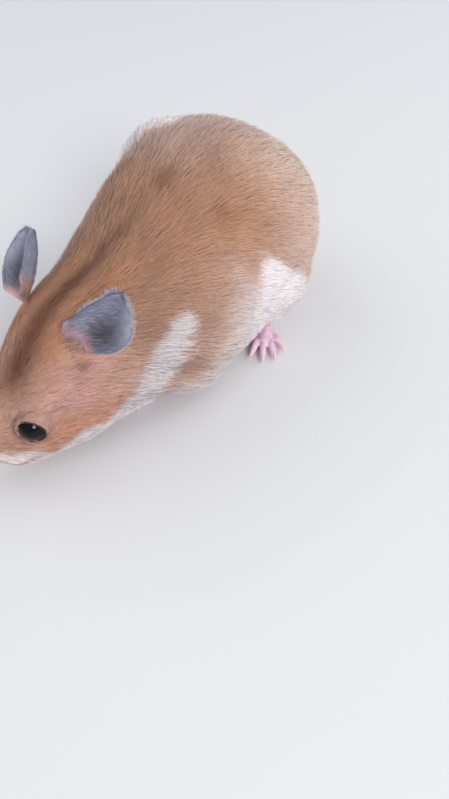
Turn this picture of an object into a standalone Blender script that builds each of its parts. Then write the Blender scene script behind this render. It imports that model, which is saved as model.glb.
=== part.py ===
"""A golden (Syrian) hamster that walks low on all fours, its back arched and its nose near the floor.

The animal faces -Y, its left side is +X and +Z is up. Sizes and places are in body units, and UNIT
says how many metres one is, so that BODY_LENGTH drives the size of everything. Places are given as
(forward, left, up). The outer surface of each furred solid is the tips of the coat.
"""

import math

import bmesh
import bpy
import numpy as np
from mathutils import Matrix, Vector

BODY_LENGTH = 0.106  # metres, nose to rump as it crouches
GAP = 0.0003  # metres between solids that touch
FAR = 120.0  # body units, well past the animal on every side

# The trunk, neck and head as upright sections: forward place, sideways place of the middle, lowest and
# highest point, half width, and the height at which the section is widest. The neck bends a little to
# the animal's left and the head turns back to its right.
SECTIONS = (
    (-49.5, 0.0, 22.0, 29.0, 3.0, 25.0),
    (-48.2, 0.0, 15.0, 34.8, 11.2, 25.0),
    (-45.0, 0.0, 9.5, 39.4, 18.0, 24.5),
    (-40.0, 0.0, 6.2, 43.9, 23.5, 24.0),
    (-33.0, 0.0, 4.8, 48.5, 28.2, 23.0),
    (-25.0, 0.4, 4.3, 51.0, 30.0, 22.5),
    (-16.0, 1.2, 4.2, 51.4, 30.2, 21.5),
    (-6.0, 2.6, 4.0, 50.2, 29.4, 20.0),
    (4.0, 4.0, 4.0, 47.6, 28.0, 18.0),
    (13.0, 5.0, 4.2, 44.6, 25.8, 17.0),
    (21.0, 5.5, 4.6, 42.6, 22.2, 17.5),
    (28.0, 5.6, 4.6, 41.8, 19.0, 17.5),
    (35.0, 5.5, 4.2, 41.6, 16.4, 17.0),
    (41.0, 5.3, 3.6, 40.0, 14.4, 15.5),
    (46.0, 4.9, 3.4, 36.4, 12.6, 14.0),
    (51.0, 4.4, 3.4, 31.4, 10.6, 13.0),
    (55.0, 3.6, 3.8, 27.8, 9.3, 12.5),
    (58.5, 2.4, 4.4, 24.6, 7.8, 12.4),
    (62.0, 0.8, 5.6, 21.4, 6.2, 12.4),
    (65.0, -0.7, 7.0, 19.0, 5.0, 12.6),
    (67.2, -1.6, 8.6, 16.8, 3.8, 12.8),
    (68.0, -1.9, 10.2, 15.0, 2.4, 12.8),
)
UNIT = BODY_LENGTH / (SECTIONS[-1][0] - SECTIONS[0][0])
CUT = GAP / UNIT  # the gap in body units
SECTION_SIDES = 32
SECTION_POWER = 2.15  # a little squarer than an ellipse
RINGS_BETWEEN = 4

# From here on a sideways place is measured from the body's middle at that forward place, and what is
# given once is made for both sides.

# Rounded masses that swell the trunk and head: (forward, left, up) and the half sizes along the same
# three directions.
THIGH = ((-18.5, 20.5, 18.0), (15.0, 11.6, 12.0))
SHOULDER = ((13.0, 14.8, 13.5), (12.5, 10.8, 9.0))  # with the fold of skin behind it
RIGHT_HIP = ((-19.0, -14.0, 33.3), (14.5, 14.0, 17.0))  # the body rolls a little to this side
CHEEK = ((42.5, 7.4, 11.5), (8.5, 5.2, 6.6))
BROW = ((53.0, 5.6, 19.0), (7.5, 5.0, 6.0))  # round the eye
WHISKER_PAD = ((58.2, 5.2, 9.7), (4.3, 3.1, 3.6))

FOREARM = ((20.5, 9.0, 12.0), (22.5, 6.0, 5.0), 4.6, 3.0)  # top, wrist, and the half width at each
SHANK = ((-18.0, 19.5, 10.0), (-19.0, 21.0, 5.4), 5.4, 3.8)

HEAD_CUT = (32.0, 18.0)  # forward place and height of a point on the cut between head and neck
HEAD_CUT_TILT = 18.0  # degrees that the cut leans back from upright
NECK_CUT = (17.0, 18.0)
NECK_CUT_TILT = 24.0
HIND_REGION = ((-19.0, 24.0, 9.0), (20.0, 12.0, 18.5))  # what counts as hind leg
FORE_REGION = ((23.0, 11.0, 5.0), (11.0, 10.0, 15.0))

EYE_RADIUS = 3.45
EYE_CENTRE = (54.6, 8.0, 20.6)
NOSE = ((67.4, 0.0, 14.4), (1.6, 2.2, 1.5))
TAIL = ((-46.0, 0.0, 18.0), (-54.5, 0.0, 13.5), 2.6, 0.9)
TAIL_SIDES = 10

# Each ear's root, the way from root to tip and the way its hollow side looks. The left one (1) lies
# back and looks aside, and the right one (-1) is turned to the front.
EARS = {
    1: ((40.0, 9.4, 36.0), (-0.76, 0.28, 0.58), (0.62, 0.55, 0.56)),
    -1: ((38.6, 8.8, 36.8), (-0.74, 0.20, 0.64), (0.78, 0.25, 0.57)),
}
EAR_HEIGHT = 14.0
EAR_BURIED = 3.0  # how much of it is below its root point, before it is ended at the head
# Reach from the ear's middle line to its edges, at shares of its height.
EAR_OUTER = ((0.0, 0.12, 0.25, 0.45, 0.65, 0.84, 0.95, 1.0), (2.6, 4.8, 6.6, 7.3, 6.6, 4.2, 2.2, 0.5))
EAR_INNER = ((0.0, 0.2, 0.5, 0.8, 0.95, 1.0), (3.6, 5.2, 4.6, 3.0, 1.6, 0.5))
EAR_CUP = 3.4  # how far its edges stand ahead of its middle near the root
EAR_CURL = 2.0  # how far its tip leans ahead
EAR_THICKNESS = 0.9
EAR_ROWS = 8
EAR_COLUMNS = 8

# Feet: heel and toe-base places, the half width at the toe bases, toe lengths from the inner one
# outwards, and how far the outer toes spread, in degrees.
HIND_FOOT = {
    "heel": (-21.5, 19.5), "ball": (-10.5, 26.5), "width": 3.6,
    "toes": (3.4, 5.2, 5.8, 5.4, 3.8), "spread": 34.0,
}
FORE_FOOT = {
    "heel": (20.5, 5.2), "ball": (26.3, 5.2), "width": 2.7,
    "toes": (3.4, 4.4, 4.4, 3.2), "spread": 26.0,
}
ANKLE_HEIGHT = 8.0
TOE_RADIUS = 1.0
CLAW_LENGTH = 1.7
SOLE_CUT = 0.5  # the flats that the feet stand on are cut this far above their lowest point

BODY_VOXEL = 1.4
ROOM_VOXEL = 0.7
ROOM_TRIANGLES = 560
BODY_TRIANGLES = 2200
FOOT_VOXEL = 0.42
FOOT_TRIANGLES = 270


def place(forward, left, up):
    """A point in metres from body units."""
    return Vector((left, -forward, up)) * UNIT


def sizes(along, across, height):
    """Half sizes in metres, in the order of the axes."""
    return Vector((across, along, height)) * UNIT


def clear_scene():
    for obj in list(bpy.data.objects):
        bpy.data.objects.remove(obj, do_unlink=True)


def add_object(name, mesh):
    obj = bpy.data.objects.new(name, mesh)
    bpy.context.scene.collection.objects.link(obj)
    return obj


def from_bmesh(name, shape):
    bmesh.ops.recalc_face_normals(shape, faces=shape.faces)
    mesh = bpy.data.meshes.new(name)
    shape.to_mesh(mesh)
    shape.free()
    return add_object(name, mesh)


def material(name, colour, roughness):
    made = bpy.data.materials.new(name)
    made.use_nodes = True
    shader = made.node_tree.nodes["Principled BSDF"]
    shader.inputs["Base Color"].default_value = (*colour, 1.0)
    shader.inputs["Roughness"].default_value = roughness
    shader.inputs["Metallic"].default_value = 0.0
    return made


def apply_modifiers(obj):
    """Makes the evaluated shape the object's own mesh."""
    graph = bpy.context.evaluated_depsgraph_get()
    mesh = bpy.data.meshes.new_from_object(obj.evaluated_get(graph))
    obj.modifiers.clear()
    old, obj.data = obj.data, mesh
    bpy.data.meshes.remove(old)


def boolean(obj, other, operation):
    """Cuts obj with other, or keeps what they share, and leaves other as it is."""
    modifier = obj.modifiers.new(operation.lower(), "BOOLEAN")
    modifier.operation = operation
    modifier.object = other
    modifier.solver = "EXACT"
    bpy.context.view_layer.update()
    apply_modifiers(obj)


def discard(*objects):
    for obj in objects:
        bpy.data.objects.remove(obj, do_unlink=True)


def copy_of(obj, name):
    made = obj.copy()
    made.data = obj.data.copy()
    made.name = name
    bpy.context.scene.collection.objects.link(made)
    return made


def join(name, objects):
    """One object with the meshes of several, which may overlap."""
    shape = bmesh.new()
    for obj in objects:
        mesh = obj.data.copy()
        mesh.transform(obj.matrix_world)
        shape.from_mesh(mesh)
        bpy.data.meshes.remove(mesh)
    discard(*objects)
    mesh = bpy.data.meshes.new(name)
    shape.to_mesh(mesh)
    shape.free()
    return add_object(name, mesh)


def between(stations, steps):
    """Catmull-Rom curve through the stations, with this many steps from each to the next."""
    rows = np.array(stations, float)
    padded = np.vstack([2 * rows[0] - rows[1], rows, 2 * rows[-1] - rows[-2]])
    made = []
    for i in range(len(rows) - 1):
        before, start, end, after = padded[i : i + 4]
        for t in np.arange(steps) / steps:
            made.append(
                0.5 * (2 * start + (end - before) * t
                       + (2 * before - 5 * start + 4 * end - after) * t**2
                       + (3 * start - before - 3 * end + after) * t**3)
            )
    made.append(rows[-1])
    return np.array(made)


def rounded(value, power):
    return math.copysign(abs(value) ** (2.0 / power), value)


def section_ring(forward, middle, low, high, half_width, widest):
    """The points round one upright section."""
    ring = []
    for i in range(SECTION_SIDES):
        angle = 2 * math.pi * i / SECTION_SIDES
        reach = high - widest if math.sin(angle) > 0 else widest - low
        across = middle + half_width * rounded(math.cos(angle), SECTION_POWER)
        ring.append(place(forward, across, widest + reach * rounded(math.sin(angle), SECTION_POWER)))
    return ring


def skinned(name, rings):
    """A closed surface through rings that all have the same number of points."""
    shape = bmesh.new()
    rows = [[shape.verts.new(point) for point in ring] for ring in rings]
    for first, second in zip(rows, rows[1:]):
        for i in range(len(first)):
            j = (i + 1) % len(first)
            shape.faces.new((first[i], first[j], second[j], second[i]))
    shape.faces.new(rows[0])
    shape.faces.new(reversed(rows[-1]))
    return from_bmesh(name, shape)


def ellipsoid(name, centre, half_sizes, subdivisions=2):
    shape = bmesh.new()
    bmesh.ops.create_icosphere(shape, subdivisions=subdivisions, radius=1.0)
    matrix = Matrix.Translation(place(*centre)) @ Matrix.Diagonal((*sizes(*half_sizes), 1.0))
    bmesh.ops.transform(shape, matrix=matrix, verts=shape.verts)
    return from_bmesh(name, shape)


def tapered(name, start, end, start_radius, end_radius, sides=12):
    """A round bar with rounded ends, in body units."""
    a, b = place(*start), place(*end)
    along = (b - a).normalized()
    turn = along.to_track_quat("Z", "Y").to_matrix()
    rings = []
    for point, radius, slopes in ((a, start_radius, (-80, -50, -20, 0)), (b, end_radius, (0, 20, 50, 80))):
        for degrees in slopes:
            slope = math.radians(degrees)
            centre = point + along * (math.sin(slope) * radius * UNIT)
            reach = math.cos(slope) * radius * UNIT
            rounds = (2 * math.pi * k / sides for k in range(sides))
            rings.append([
                centre + turn @ Vector((math.cos(angle), math.sin(angle), 0)) * reach
                for angle in rounds
            ])
    return skinned(name, rings)


def paired(centre, side):
    """The left (1) or right (-1) one of a pair of places, each given from the body's middle."""
    forwards = [row[0] for row in SECTIONS]
    middles = [row[1] for row in SECTIONS]
    return (centre[0], float(np.interp(centre[0], forwards, middles)) + centre[1] * side, centre[2])


def remeshed(obj, voxel, rounds, triangles):
    """Joins overlapping shapes into one smooth closed surface with about this many triangles."""
    remesh = obj.modifiers.new("join", "REMESH")
    remesh.mode = "VOXEL"
    remesh.voxel_size = voxel * UNIT
    smooth = obj.modifiers.new("smooth", "SMOOTH")
    smooth.factor = 0.5
    smooth.iterations = rounds
    triangulate = obj.modifiers.new("triangulate", "TRIANGULATE")
    triangulate.quad_method = "BEAUTY"
    apply_modifiers(obj)
    decimate = obj.modifiers.new("decimate", "DECIMATE")
    decimate.ratio = min(1.0, triangles / len(obj.data.polygons))
    apply_modifiers(obj)
    return obj


def whole_body():
    rings = [section_ring(*row) for row in between(SECTIONS, RINGS_BETWEEN)]
    pieces = [skinned("core", rings)]
    pieces.append(ellipsoid("hip", paired(RIGHT_HIP[0], 1), RIGHT_HIP[1], 3))
    for side in (1, -1):
        pieces.append(ellipsoid("thigh", paired(THIGH[0], side), THIGH[1], 3))
        pieces.append(ellipsoid("shoulder", paired(SHOULDER[0], side), SHOULDER[1], 3))
        pieces.append(ellipsoid("cheek", paired(CHEEK[0], side), CHEEK[1], 3))
        pieces.append(ellipsoid("brow", paired(BROW[0], side), BROW[1], 3))
        pieces.append(ellipsoid("pad", paired(WHISKER_PAD[0], side), WHISKER_PAD[1], 3))
        for top, bottom, top_radius, bottom_radius in (FOREARM, SHANK):
            limb = tapered("limb", paired(top, side), paired(bottom, side), top_radius, bottom_radius)
            pieces.append(limb)
    return remeshed(join("body", pieces), BODY_VOXEL, 6, BODY_TRIANGLES)


def half_space(name, point, tilt, front):
    """A big block whose near face is the cut: it holds all that is ahead of the cut, or behind it."""
    reach = FAR * UNIT
    shape = bmesh.new()
    bmesh.ops.create_cube(shape, size=2 * reach)
    shift = Matrix.Translation(Vector((0, -reach if front else reach, 0)))
    lean = Matrix.Rotation(math.radians(-tilt), 4, "X")
    start = Matrix.Translation(place(point[0], 0.0, point[1]))
    bmesh.ops.transform(shape, matrix=start @ lean @ shift, verts=shape.verts)
    return from_bmesh(name, shape)


def block(name, low, high):
    """A box between two corners in body units."""
    a, b = place(*low), place(*high)
    shape = bmesh.new()
    bmesh.ops.create_cube(shape, size=1.0)
    size = Vector(abs(x) for x in (b - a))
    bmesh.ops.transform(
        shape, matrix=Matrix.Translation((a + b) / 2) @ Matrix.Diagonal((*size, 1.0)), verts=shape.verts
    )
    return from_bmesh(name, shape)


def grown(half_sizes, by):
    return tuple(size + by for size in half_sizes)


def part_body(body):
    """Parts the whole body with thin cuts. Returns its pieces by name."""
    made = {}
    ahead = half_space("ahead", HEAD_CUT, HEAD_CUT_TILT, True)
    head = copy_of(body, "head")
    boolean(head, ahead, "INTERSECT")
    behind_head = half_space("behind_head", (HEAD_CUT[0] - CUT, HEAD_CUT[1]), HEAD_CUT_TILT, False)
    boolean(body, behind_head, "INTERSECT")

    neck_front = half_space("neck_front", NECK_CUT, NECK_CUT_TILT, True)
    for side, word in ((1, "left"), (-1, "right")):
        for name, region in (("hindleg", HIND_REGION), ("foreleg", FORE_REGION)):
            cutter = ellipsoid("leg_cutter", paired(region[0], side), region[1], 3)
            leg = copy_of(body, f"{name}_{word}")
            boolean(leg, cutter, "INTERSECT")
            made[leg.name] = leg
            discard(cutter)
            wider = ellipsoid("trunk_cutter", paired(region[0], side), grown(region[1], CUT), 3)
            boolean(body, wider, "DIFFERENCE")
            discard(wider)
    neck = copy_of(body, "neck")
    boolean(neck, neck_front, "INTERSECT")
    trunk_back = half_space("trunk_back", (NECK_CUT[0] - CUT, NECK_CUT[1]), NECK_CUT_TILT, False)
    boolean(body, trunk_back, "INTERSECT")
    body.name = "trunk"
    discard(ahead, behind_head, neck_front, trunk_back)
    made.update(head=head, neck=neck, trunk=body)
    return made


def foot_line(spec):
    """The heel, the toe bases and the way the foot points, all on the floor."""
    heel = Vector(spec["heel"])
    ball = Vector(spec["ball"])
    return heel, ball, (ball - heel).normalized()


def ankle(name, spec, extra):
    """The leg's end inside the fur, above the heel."""
    heel, _, aim = foot_line(spec)
    low, high = heel + aim * 2.0, heel + aim * 2.6
    width = spec["width"]
    return tapered(name, (*low, 2.0), (*high, ANKLE_HEIGHT), width * 0.75 + extra, width * 0.85 + extra)


def move_to_side(obj, spec, side):
    """Carries what is modelled from the middle plane to the left or right foot's place."""
    shift = paired((spec["heel"][0], 0.0, 0.0), side)[1] * UNIT
    matrix = Matrix.Translation((shift, 0, 0)) @ Matrix.Diagonal((side, 1, 1, 1))
    obj.data.transform(matrix)
    if side < 0:
        obj.data.flip_normals()


def foot(name, spec, side):
    """A foot with its sole flat on the floor, its toes spread and a claw on each."""
    heel, ball, aim = foot_line(spec)
    across = Vector((-aim.y, aim.x))  # towards the outer side of the way the foot points
    width = spec["width"]
    pieces = [
        tapered("sole", (*heel, 2.2), (*ball, 1.5), width * 0.72, width * 0.55),
        ellipsoid("ball", (*(ball - aim * 0.6), 1.5), (width * 0.8, width * 1.0, 1.5), 3),
        ankle("ankle", spec, 0.0),
    ]
    count = len(spec["toes"])
    radius = TOE_RADIUS * (1.0 if count == 5 else 0.86)
    for k, length in enumerate(spec["toes"]):
        share = 2.0 * k / (count - 1) - 1.0  # -1 for the inner toe, 1 for the outer
        turn = math.radians(share * spec["spread"])
        way = aim * math.cos(turn) + across * math.sin(turn)
        root = ball + across * (share * width * 0.78) - aim * (share**2 * 1.6)
        knuckle, tip = root + way * length * 0.5, root + way * length
        claw = tip + way * CLAW_LENGTH
        pieces.append(tapered("toe", (*root, 1.2), (*knuckle, 1.7), radius, radius, 10))
        pieces.append(tapered("toe", (*knuckle, 1.7), (*tip, 0.95), radius, radius * 0.85, 10))
        pieces.append(tapered("claw", (*tip, 1.1), (*claw, 0.75), radius * 0.6, 0.42, 10))
    made = join(name, pieces)
    move_to_side(made, spec, side)
    remeshed(made, FOOT_VOXEL, 2, FOOT_TRIANGLES)
    low = min(vertex.co.z for vertex in made.data.vertices)
    made.data.transform(Matrix.Translation((0, 0, -low - SOLE_CUT * UNIT)))
    above_floor = block("above_floor", (-FAR, -FAR, 0.0), (FAR, FAR, FAR))
    boolean(made, above_floor, "INTERSECT")
    discard(above_floor)
    return made


def foot_rooms():
    """The room that the four feet and their ankles take out of the fur above them."""
    pieces = []
    for spec in (HIND_FOOT, FORE_FOOT):
        heel, ball, aim = foot_line(spec)
        toes = ball + aim * 4.0
        width = spec["width"]
        for side in (1, -1):
            sole = tapered("sole", (*heel, 2.2), (*toes, 1.5), width * 0.72 + 3 * CUT, width * 1.3)
            for piece in (sole, ankle("ankle", spec, 2.4 * CUT)):
                move_to_side(piece, spec, side)
                pieces.append(piece)
    return remeshed(join("foot_rooms", pieces), ROOM_VOXEL, 0, ROOM_TRIANGLES)


def cut_rooms(body):
    """Takes out of the body the places where eyes, nose, tail and feet sit, each with its thin gap."""
    rooms = [
        ellipsoid("nose_room", paired(NOSE[0], 1), grown(NOSE[1], CUT)),
        tapered("tail_room", TAIL[0], TAIL[1], TAIL[2] + CUT, TAIL[3] + CUT, TAIL_SIDES),
        foot_rooms(),
    ]
    for side in (1, -1):
        rooms.append(ellipsoid("socket", paired(EYE_CENTRE, side), (EYE_RADIUS + CUT,) * 3, 3))
    for room in rooms:
        boolean(body, room, "DIFFERENCE")
        discard(room)


def largest_piece(obj):
    """Drops all but the largest connected piece, which a cut can leave as crumbs."""
    shape = bmesh.new()
    shape.from_mesh(obj.data)
    shape.verts.ensure_lookup_table()
    seen, groups = set(), []
    for start in shape.verts:
        if start.index in seen:
            continue
        group, todo = [], [start]
        seen.add(start.index)
        while todo:
            vertex = todo.pop()
            group.append(vertex)
            for edge in vertex.link_edges:
                other = edge.other_vert(vertex)
                if other.index not in seen:
                    seen.add(other.index)
                    todo.append(other)
        groups.append(group)
    groups.sort(key=len)
    for group in groups[:-1]:
        bmesh.ops.delete(shape, geom=group, context="VERTS")
    shape.to_mesh(obj.data)
    shape.free()


def ear_point(along, share):
    """A point on the ear in its own axes: sideways, up, and ahead. along is 1 at the tip, and share
    is -1 at the inner edge and 1 at the outer one."""
    places, reaches = EAR_OUTER if share > 0 else EAR_INNER
    sideways = share * float(np.interp(along, places, reaches))
    cup = EAR_CUP * share**2 * (1.0 - 0.5 * max(along, 0.0))
    return sideways, EAR_HEIGHT * along, cup + EAR_CURL * max(along, 0.0) ** 3


def ear(name, side):
    """A thin cupped ear: a grid from root to rim, given thickness."""
    root_place, upward, ahead = EARS[side]
    axis = Vector((upward[1] * side, -upward[0], upward[2])).normalized()
    face = Vector((ahead[1] * side, -ahead[0], ahead[2]))
    face = (face - axis * face.dot(axis)).normalized()
    outward = axis.cross(face) * side
    root = place(*paired(root_place, side))
    lowest = -EAR_BURIED / EAR_HEIGHT
    shape = bmesh.new()
    grid = []
    for i in range(EAR_ROWS):
        along = lowest + (1.0 - lowest) * math.sin(0.5 * math.pi * i / (EAR_ROWS - 1))
        line = []
        for j in range(EAR_COLUMNS):
            sideways, height, lift = ear_point(along, 2.0 * j / (EAR_COLUMNS - 1) - 1.0)
            point = axis * height + outward * sideways + face * lift
            line.append(shape.verts.new(root + point * UNIT))
        grid.append(line if side > 0 else line[::-1])
    for i in range(EAR_ROWS - 1):
        for j in range(EAR_COLUMNS - 1):
            shape.faces.new((grid[i][j], grid[i][j + 1], grid[i + 1][j + 1], grid[i + 1][j]))
    made = from_bmesh(name, shape)
    solidify = made.modifiers.new("thickness", "SOLIDIFY")
    solidify.thickness = EAR_THICKNESS * UNIT
    solidify.offset = 0.0
    apply_modifiers(made)
    return made


def seat_ear(ear_piece, head):
    """Ends the ear at the head, with the thin gap."""
    swollen = copy_of(head, "swollen")
    push = swollen.modifiers.new("push", "DISPLACE")
    push.mid_level = 0.0
    push.strength = GAP
    apply_modifiers(swollen)
    boolean(ear_piece, swollen, "DIFFERENCE")
    discard(swollen)


def stand_in_middle(parts):
    """Puts the origin on the floor below the middle of the whole animal's box."""
    corners = [v.co for obj in parts.values() for v in obj.data.vertices]
    middle = Vector(
        ((min(c[i] for c in corners) + max(c[i] for c in corners)) / 2 for i in range(2))
    ).to_3d()
    for obj in parts.values():
        obj.data.transform(Matrix.Translation(-middle))


def build():
    clear_scene()
    body = whole_body()
    cut_rooms(body)
    parts = part_body(body)
    for side, word in ((1, "left"), (-1, "right")):
        parts[f"eye_{word}"] = ellipsoid(f"eye_{word}", paired(EYE_CENTRE, side), (EYE_RADIUS,) * 3, 3)
        parts[f"hindfoot_{word}"] = foot(f"hindfoot_{word}", HIND_FOOT, side)
        parts[f"forefoot_{word}"] = foot(f"forefoot_{word}", FORE_FOOT, side)
        parts[f"ear_{word}"] = ear(f"ear_{word}", side)
        seat_ear(parts[f"ear_{word}"], parts["head"])
    parts["nose"] = ellipsoid("nose", paired(NOSE[0], 1), NOSE[1])
    parts["tail"] = tapered("tail", *TAIL, TAIL_SIDES)
    for obj in parts.values():
        largest_piece(obj)
    stand_in_middle(parts)
    return parts


COLOURS = {
    "fur": ((0.46, 0.21, 0.09), 0.8),
    "bare_skin": ((0.62, 0.34, 0.33), 0.5),
    "ear": ((0.12, 0.11, 0.13), 0.6),
    "eye": ((0.01, 0.01, 0.012), 0.08),
}


def dress(parts):
    finishes = {name: material(name, *values) for name, values in COLOURS.items()}
    for name, obj in parts.items():
        kind = "fur"
        if name.startswith("eye"):
            kind = "eye"
        elif name.startswith("ear"):
            kind = "ear"
        elif "foot" in name or name in ("nose", "tail"):
            kind = "bare_skin"
        obj.data.materials.clear()
        obj.data.materials.append(finishes[kind])
        obj.data.shade_smooth()


dress(build())
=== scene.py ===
import itertools
import math

import bmesh
import bpy
import numpy as np
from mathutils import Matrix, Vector
from mathutils.bvhtree import BVHTree
from mathutils.kdtree import KDTree


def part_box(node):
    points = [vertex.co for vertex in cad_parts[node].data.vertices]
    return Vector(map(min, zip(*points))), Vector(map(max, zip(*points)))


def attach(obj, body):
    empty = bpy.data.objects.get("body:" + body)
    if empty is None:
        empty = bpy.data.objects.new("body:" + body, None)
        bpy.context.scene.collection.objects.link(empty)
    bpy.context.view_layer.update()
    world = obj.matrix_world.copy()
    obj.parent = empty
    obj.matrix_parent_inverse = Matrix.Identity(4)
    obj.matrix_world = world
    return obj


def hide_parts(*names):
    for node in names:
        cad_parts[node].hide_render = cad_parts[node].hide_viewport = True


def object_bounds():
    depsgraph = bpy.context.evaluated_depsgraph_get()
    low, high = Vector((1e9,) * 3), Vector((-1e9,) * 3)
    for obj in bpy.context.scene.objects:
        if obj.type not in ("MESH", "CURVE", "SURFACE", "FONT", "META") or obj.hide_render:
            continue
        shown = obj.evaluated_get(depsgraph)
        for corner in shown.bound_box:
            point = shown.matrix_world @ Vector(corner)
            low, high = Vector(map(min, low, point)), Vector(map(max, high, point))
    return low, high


# Looks of the golden hamster: one bare skin a coat's depth inside the solids, and over it a coat of thin
# overlapping tufts that lie from nose to tail. Places on the body are in body units and are given as
# (forward, side, up): side is measured from the middle of the body, which bends a little. Sizes of skin
# and hair are in metres unless a comment says otherwise. side is also 1 for left and -1 for right.

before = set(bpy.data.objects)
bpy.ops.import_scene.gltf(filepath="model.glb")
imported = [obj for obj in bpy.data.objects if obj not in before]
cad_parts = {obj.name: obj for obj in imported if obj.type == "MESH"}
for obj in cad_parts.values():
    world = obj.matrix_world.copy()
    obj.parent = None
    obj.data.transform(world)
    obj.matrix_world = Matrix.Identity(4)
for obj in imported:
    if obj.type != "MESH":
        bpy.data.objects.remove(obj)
CAD_LOW, CAD_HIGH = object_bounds()

BODY_UNITS = 124.37  # from the tip of the tail to the front of the nose
NOSE_FRONT = 69  # forward place of the front of the nose
UNIT = (CAD_HIGH.y - CAD_LOW.y) / BODY_UNITS
MM = 0.001
WORDS = {1: "left", -1: "right"}
FEET = ("hindfoot_left", "hindfoot_right", "forefoot_left", "forefoot_right")
EARS = ("ear_left", "ear_right")
FURRED = ("head", "neck", "trunk", "foreleg_left", "foreleg_right", "hindleg_left", "hindleg_right", "tail")


def middle_of(*nodes):
    """The mean of the middles of some nodes' boxes."""
    middles = [sum(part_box(node), Vector()) / 2 for node in nodes]
    return sum(middles, Vector()) / len(middles)


BETWEEN_EARS = middle_of(*EARS)
BETWEEN_EARS.x = middle_of("head").x  # the ears are turned differently
SPINE = sorted(
    (place.y, place.x)
    for place in (
        middle_of("tail"),
        middle_of("hindleg_left", "hindleg_right"),
        middle_of("forefoot_left", "forefoot_right"),
        BETWEEN_EARS,
        middle_of("eye_left", "eye_right"),
        middle_of("nose"),
    )
)
HEADING = (middle_of("nose") - BETWEEN_EARS).xy.to_3d().normalized()
AHEAD = np.array(HEADING)  # these two are the head's own, level with the floor
LEFT = np.array((-HEADING.y, HEADING.x, 0))
UP = np.array((0, 0, 1))


# ---------- small helpers
def body_units(points):
    """Columns forward, side and up of points in metres."""
    ys, xs = zip(*SPINE)
    forward = NOSE_FRONT - (points[:, 1] - CAD_LOW.y) / UNIT
    side = (points[:, 0] - np.interp(points[:, 1], ys, xs)) / UNIT
    return forward, side, points[:, 2] / UNIT


def ramp(x, start, end):
    """Smoothly from 0 at start to 1 at end, whichever is greater."""
    t = np.clip((x - start) / (end - start), 0, 1)
    return t * t * (3 - 2 * t)


def hump(x, middle, width):
    """1 at middle, fading out evenly on both sides."""
    return np.exp(-(((x - middle) / width) ** 2))


def window(x, start, full, last, end):
    """0 at start, 1 from full to last and 0 again at end."""
    return ramp(x, start, full) * ramp(x, end, last)


def mix(a, b, share):
    """Rows of a mixed with b by a share of b for each row. Either may be one row for all."""
    return a + (b - a) * share[:, None]


def painted(colour, *layers):
    """Rows of colour: one colour, with layers of (colour, share of it in each row) laid over it in turn."""
    for over, share in layers:
        colour = mix(colour, over, share)
    return colour


def unit_rows(rows):
    return rows / np.maximum(np.linalg.norm(rows, axis=1, keepdims=True), 1e-12)


def along_skin(way, normals):
    """Directions laid down along a surface."""
    return unit_rows(way - normals * (way * normals).sum(axis=1)[:, None])


def ripple(points, wavelength, seed):
    """Smooth irregular waves through space, mostly from -1 to 1."""
    rng = np.random.default_rng(seed)
    total = np.zeros(len(points))
    for _ in range(7):
        way = rng.normal(size=3)
        way *= 2 * math.pi / (wavelength * rng.uniform(0.7, 1.6) * np.linalg.norm(way))
        total += np.sin(points @ way + rng.uniform(0, 2 * math.pi))
    return total / 3


def linear(*srgb):
    """A colour given as sRGB from 0 to 255, as linear numbers."""
    c = np.array(srgb, float) / 255
    return np.where(c <= 0.04045, c / 12.92, ((c + 0.055) / 1.055) ** 2.4)


def new_object(name, data):
    obj = bpy.data.objects.new(name, data)
    bpy.context.scene.collection.objects.link(obj)
    return obj


def smooth_object(name, mesh):
    mesh.polygons.foreach_set("use_smooth", [True] * len(mesh.polygons))
    return new_object(name, mesh)


def from_rows(name, points, faces):
    mesh = bpy.data.meshes.new(name)
    mesh.from_pydata([tuple(p) for p in points], [], faces)
    return smooth_object(name, mesh)


def from_bmesh(name, shape):
    mesh = bpy.data.meshes.new(name)
    shape.to_mesh(mesh)
    shape.free()
    return smooth_object(name, mesh)


def remeshed(obj, size):
    """Grows the pieces of an object into one even surface."""
    remesh = obj.modifiers.new("remesh", "REMESH")
    remesh.mode = "VOXEL"
    remesh.voxel_size = size
    remesh.use_smooth_shade = True
    graph = bpy.context.evaluated_depsgraph_get()
    made = bpy.data.meshes.new_from_object(obj.evaluated_get(graph))
    obj.modifiers.clear()
    old, obj.data = obj.data, made
    bpy.data.meshes.remove(old)
    return obj


def rows_of(items, field, columns, kind=np.float32):
    """A field of a mesh's items as rows of an array."""
    flat = np.empty(len(items) * columns, kind)
    items.foreach_get(field, flat)
    return flat.reshape(-1, columns)


def points_of(mesh):
    return rows_of(mesh.vertices, "co", 3).astype(float)


def normals_of(mesh):
    return rows_of(mesh.vertex_normals, "vector", 3).astype(float)


def set_points(mesh, points):
    mesh.vertices.foreach_set("co", points.astype(np.float32).ravel())
    mesh.update()


def edges_of(mesh):
    return rows_of(mesh.edges, "vertices", 2, np.int32)


def relaxed(values, edges, rounds, share=0.5):
    """Each vertex's row moved towards the mean of its neighbours', several times over."""
    values = values.copy()
    count = np.maximum(np.bincount(edges.ravel(), minlength=len(values)), 1)[:, None]
    for _ in range(rounds):
        total = np.empty_like(values)
        for k in range(values.shape[1]):
            total[:, k] = np.bincount(edges[:, 0], values[edges[:, 1], k], len(values))
            total[:, k] += np.bincount(edges[:, 1], values[edges[:, 0], k], len(values))
        values += share * (total / count - values)
    return values


def join(name, pieces):
    """One object of several objects' faces."""
    shape = bmesh.new()
    for piece in pieces:
        shape.from_mesh(piece.data)
        bpy.data.objects.remove(piece)
    return from_bmesh(name, shape)


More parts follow.
